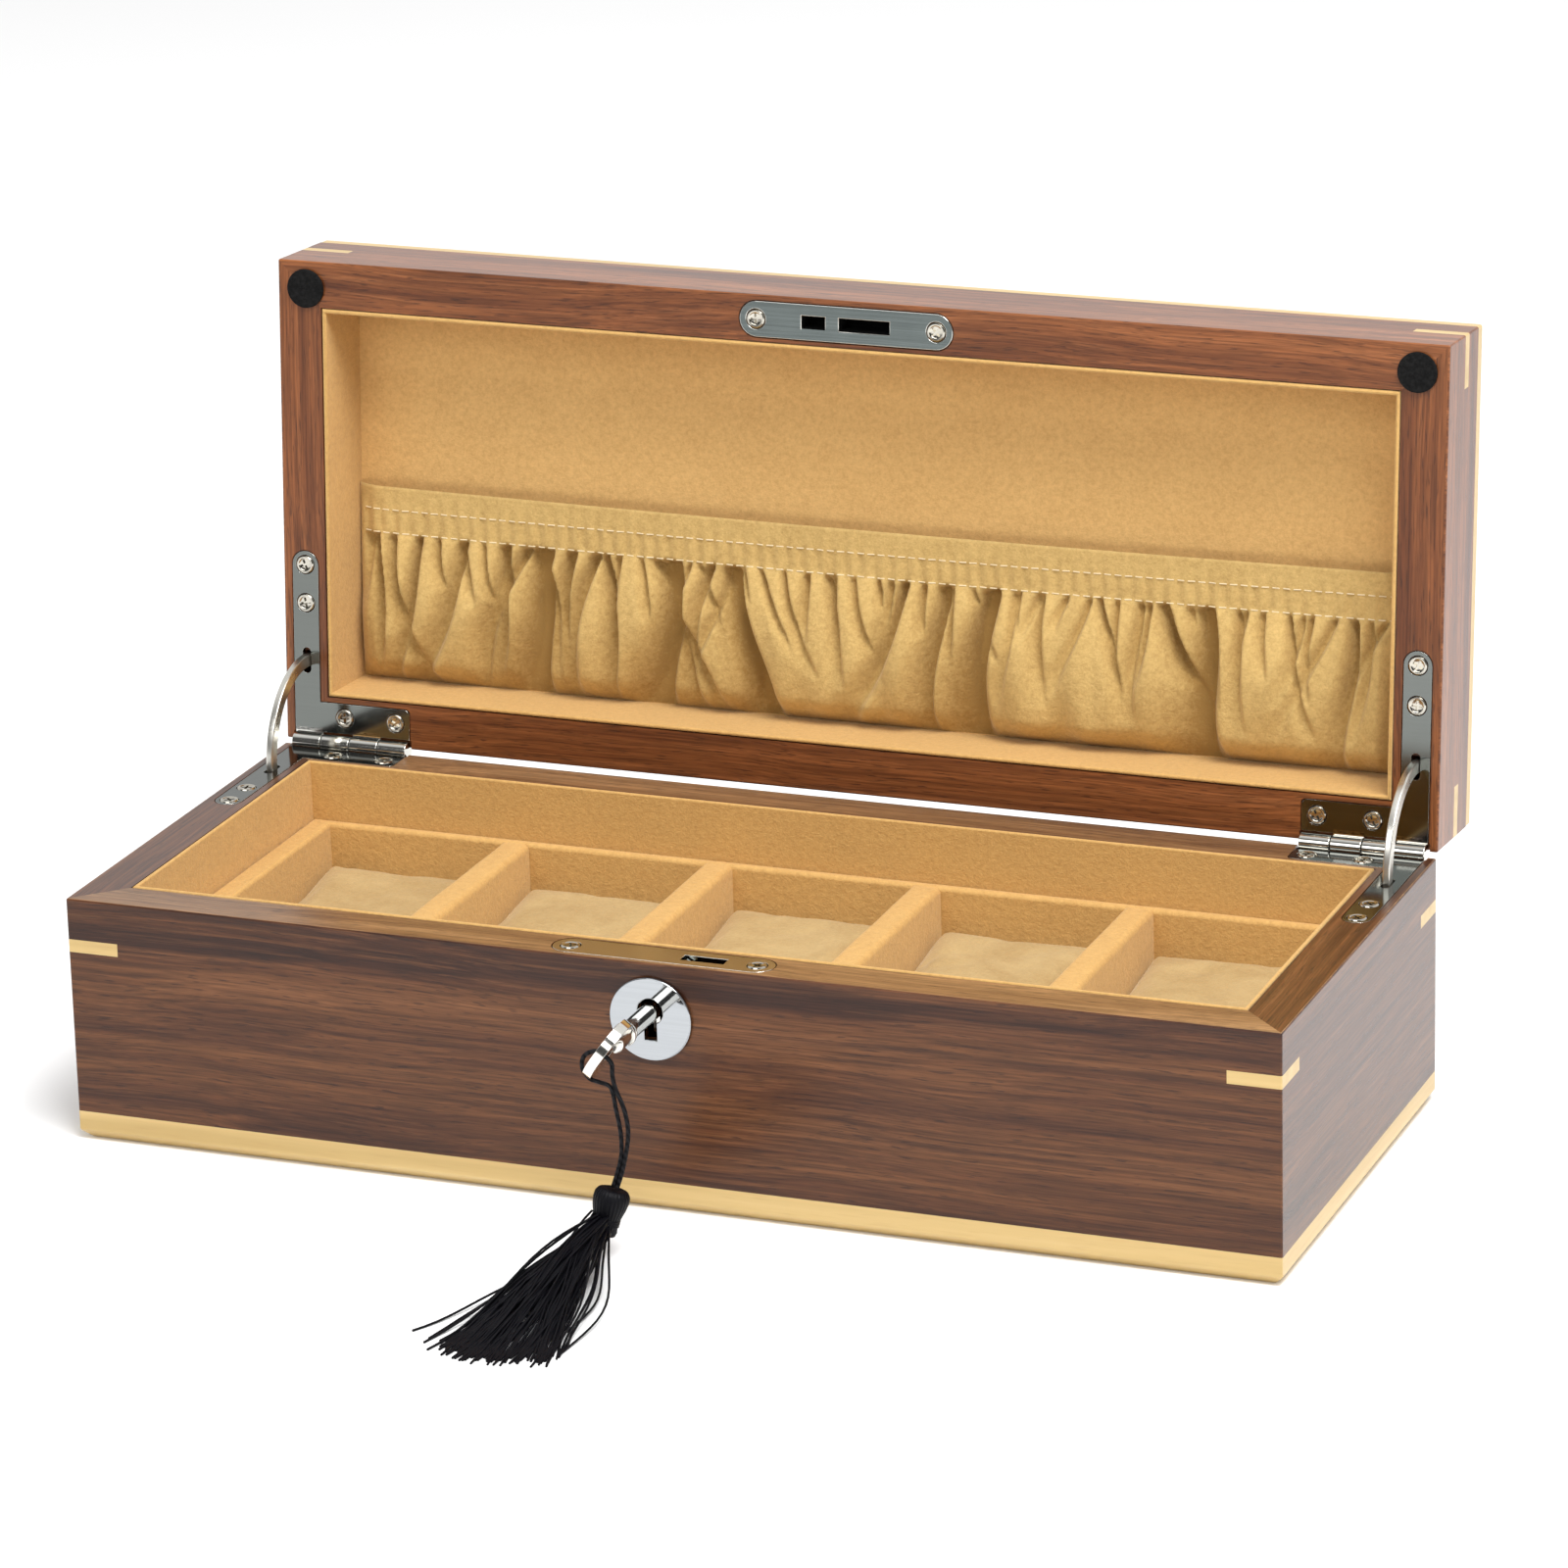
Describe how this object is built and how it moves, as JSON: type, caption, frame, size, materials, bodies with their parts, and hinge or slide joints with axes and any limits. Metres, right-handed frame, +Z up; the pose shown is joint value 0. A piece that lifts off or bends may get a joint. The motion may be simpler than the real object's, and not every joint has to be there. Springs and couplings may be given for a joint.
{
  "type": "watch box",
  "caption": "Walnut watch box with maple corner keys, a hinged suede-lined lid with a gathered pocket, pillows in a divided tray, a rim lock and a key on a tassel.",
  "frame": {"origin": "centre of the box's underside, on the surface it stands on", "axes": "+Z up, -Y out of the front with the lock and key, +X to the right seen from the front"},
  "size_m": [0.34, 0.2861, 0.2081],
  "materials": {
    "walnut": "satin lacquered walnut",
    "maple": "satin lacquered maple",
    "board": "plain pressed board",
    "felt": "dull felt",
    "suede": "soft suede cloth with a short nap",
    "pocket_cloth": "soft gathered suede cloth",
    "pillow_cloth": "soft suede cloth, lighter",
    "nickel": "polished nickel plate",
    "steel": "fine brushed",
    "chrome": "mirror polished",
    "rubber": "matt black",
    "tassel_thread": "soft black thread"
  },
  "bodies": {
    "base": {"base_wall_front": "walnut", "base_wall_right": "walnut", "base_wall_back": "walnut", "base_wall_left": "walnut", "base_spline_front_left": "maple", "base_spline_front_right": "maple", "base_spline_back_left": "maple", "base_spline_back_right": "maple", "plinth": "maple", "felt_underside": "felt", "floor_panel": "board", "base_lining": "suede", "tray_floor": "suede", "tray_frame": "suede", "divider_1": "suede", "divider_2": "suede", "divider_3": "suede", "divider_4": "suede", "lock_case": "steel", "lock_plate": "steel", "lock_plate_screw_left": "nickel", "lock_plate_screw_right": "nickel", "escutcheon": "chrome", "hinge_base_leaf_left": "nickel", "hinge_base_leaf_right": "nickel", "hinge_pin_left": "nickel", "hinge_pin_right": "nickel"},
    "lid": {"lid_wall_front": "walnut", "lid_wall_right": "walnut", "lid_wall_back": "walnut", "lid_wall_left": "walnut", "lid_spline_front_left": "maple", "lid_spline_front_right": "maple", "lid_spline_back_left": "maple", "lid_spline_back_right": "maple", "lid_edging": "maple", "lid_top_panel": "walnut", "lid_lining": "suede", "lid_lining_panel": "suede", "lid_pocket": "pocket_cloth", "bumper_left": "rubber", "bumper_right": "rubber", "strike_plate": "steel", "strike_plate_screw_left": "nickel", "strike_plate_screw_right": "nickel", "hinge_lid_leaf_left": "nickel", "hinge_lid_leaf_right": "nickel"},
    "stay_left": {"lid_stay_left": "nickel"},
    "stay_right": {"lid_stay_right": "nickel"},
    "lock_hook": {"lock_hook": "steel"},
    "tassel": {"tassel_cord": "tassel_thread", "tassel_head": "tassel_thread", "tassel_skirt": "tassel_thread"},
    "key": {"key": "chrome"},
    "pillow_1": {"pillow_1": "pillow_cloth"},
    "pillow_2": {"pillow_2": "pillow_cloth"},
    "pillow_3": {"pillow_3": "pillow_cloth"},
    "pillow_4": {"pillow_4": "pillow_cloth"},
    "pillow_5": {"pillow_5": "pillow_cloth"}
  },
  "joints": [
    {"name": "lid_hinge", "type": "hinge", "parent": "base", "child": "lid", "pos_m": [0, 0.06965, 0.06965], "axis": [-1, 0, 0], "range_deg": [-94, 0]},
    {"name": "stay_left_turn", "type": "hinge", "parent": "base", "child": "stay_left", "pos_m": [-0.1633, 0.06965, 0.06965], "axis": [-1, 0, 0], "range_deg": [-47, 0]},
    {"name": "stay_right_turn", "type": "hinge", "parent": "base", "child": "stay_right", "pos_m": [0.1633, 0.06965, 0.06965], "axis": [-1, 0, 0], "range_deg": [-47, 0]},
    {"name": "key_withdraw", "type": "slide", "parent": "base", "child": "tassel", "axis": [0, -1, 0], "range_m": [0, 0.03]},
    {"name": "key_turn", "type": "hinge", "parent": "tassel", "child": "key", "pos_m": [-0.001, -0.0692, 0.056], "axis": [0, 1, 0], "range_deg": [0, 90]},
    {"name": "lock_hook_turn", "type": "hinge", "parent": "base", "child": "lock_hook", "pos_m": [0.017, -0.0624, 0.062], "axis": [0, 1, 0], "range_deg": [0, 59]},
    {"name": "pillow_1_lift", "type": "slide", "parent": "base", "child": "pillow_1", "axis": [0, 0, 1], "range_m": [0, 0.075]},
    {"name": "pillow_2_lift", "type": "slide", "parent": "base", "child": "pillow_2", "axis": [0, 0, 1], "range_m": [0, 0.075]},
    {"name": "pillow_3_lift", "type": "slide", "parent": "base", "child": "pillow_3", "axis": [0, 0, 1], "range_m": [0, 0.075]},
    {"name": "pillow_4_lift", "type": "slide", "parent": "base", "child": "pillow_4", "axis": [0, 0, 1], "range_m": [0, 0.075]},
    {"name": "pillow_5_lift", "type": "slide", "parent": "base", "child": "pillow_5", "axis": [0, 0, 1], "range_m": [0, 0.075]}
  ],
  "couplings": [
    {"joint": "stay_left_turn", "follows": "lid_hinge", "ratio": 0.5},
    {"joint": "stay_right_turn", "follows": "lid_hinge", "ratio": 0.5},
    {"joint": "lock_hook_turn", "follows": "key_turn", "ratio": 0.65}
  ]
}
